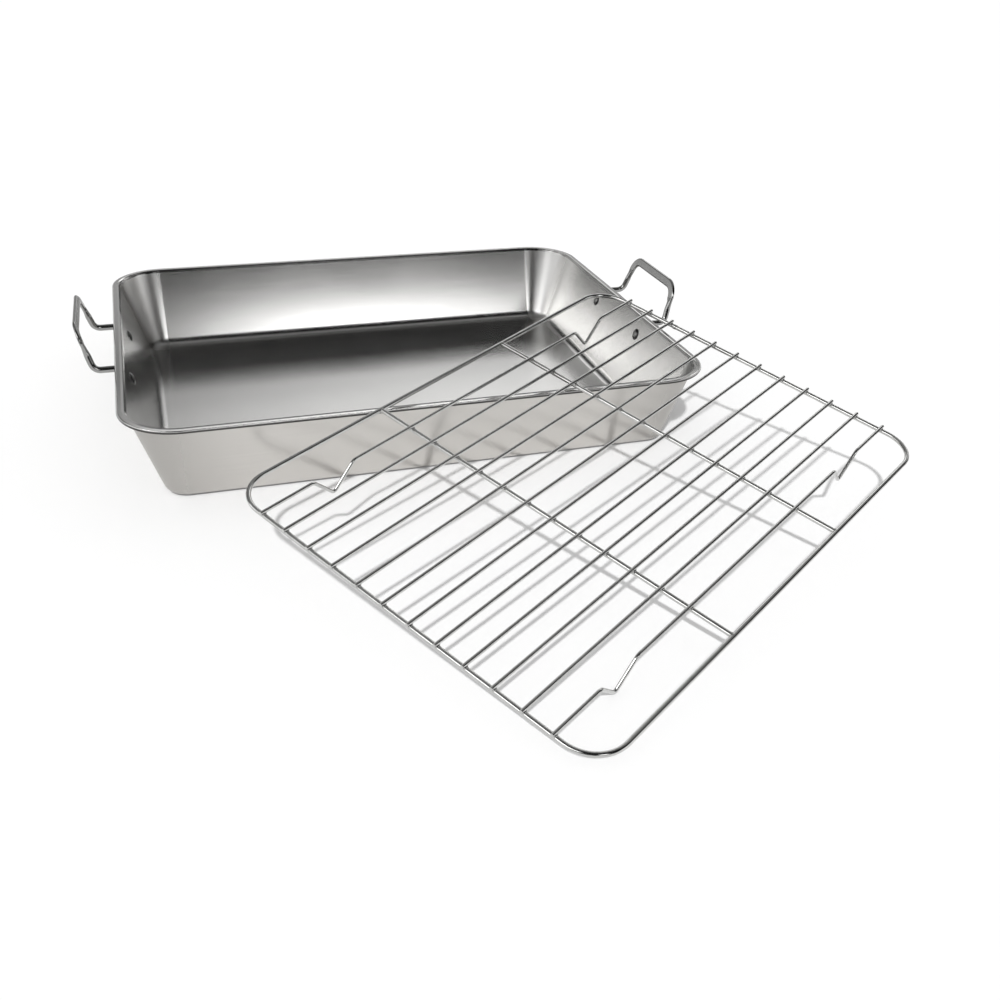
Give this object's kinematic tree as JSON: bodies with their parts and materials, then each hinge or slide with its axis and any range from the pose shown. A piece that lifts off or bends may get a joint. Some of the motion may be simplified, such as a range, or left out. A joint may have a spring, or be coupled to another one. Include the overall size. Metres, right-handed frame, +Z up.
{
  "type": "roasting pan with rack",
  "caption": "Rectangular steel roasting pan with sloped walls, folded rim and riveted wire handles, and a loose footed wire rack leaning on its front rim.",
  "frame": {"origin": "centre of the pan's flat underside, on the surface that the pan stands on", "axes": "+X to the right along the pan's length, +Y to the back, away from the rack, +Z up"},
  "size_m": [0.5108, 0.5886, 0.0847],
  "materials": {
    "pan_steel": "satin, with a fine grain along the pan",
    "handle_steel": "polished wire with a satin grip",
    "rivet_steel": "tumbled",
    "rack_wire": "bright plated wire"
  },
  "bodies": {
    "pan": {"pan_body": "pan_steel", "handle_left": "handle_steel", "handle_right": "handle_steel", "rivet_left_front": "rivet_steel", "rivet_left_back": "rivet_steel", "rivet_right_front": "rivet_steel", "rivet_right_back": "rivet_steel"},
    "rack": {"rack_frame": "rack_wire", "rack_cross_wire_left": "rack_wire", "rack_cross_wire_right": "rack_wire", "rack_bar_01": "rack_wire", "rack_bar_02": "rack_wire", "rack_bar_03": "rack_wire", "rack_bar_04": "rack_wire", "rack_bar_05": "rack_wire", "rack_bar_06": "rack_wire", "rack_bar_07": "rack_wire", "rack_bar_08": "rack_wire", "rack_bar_09": "rack_wire", "rack_bar_10": "rack_wire", "rack_bar_11": "rack_wire", "rack_bar_12": "rack_wire"}
  },
  "joints": [
    {"name": "rack_lift", "type": "slide", "parent": "pan", "child": "rack", "axis": [0, 0, 1], "range_m": [0, 0.15]}
  ]
}
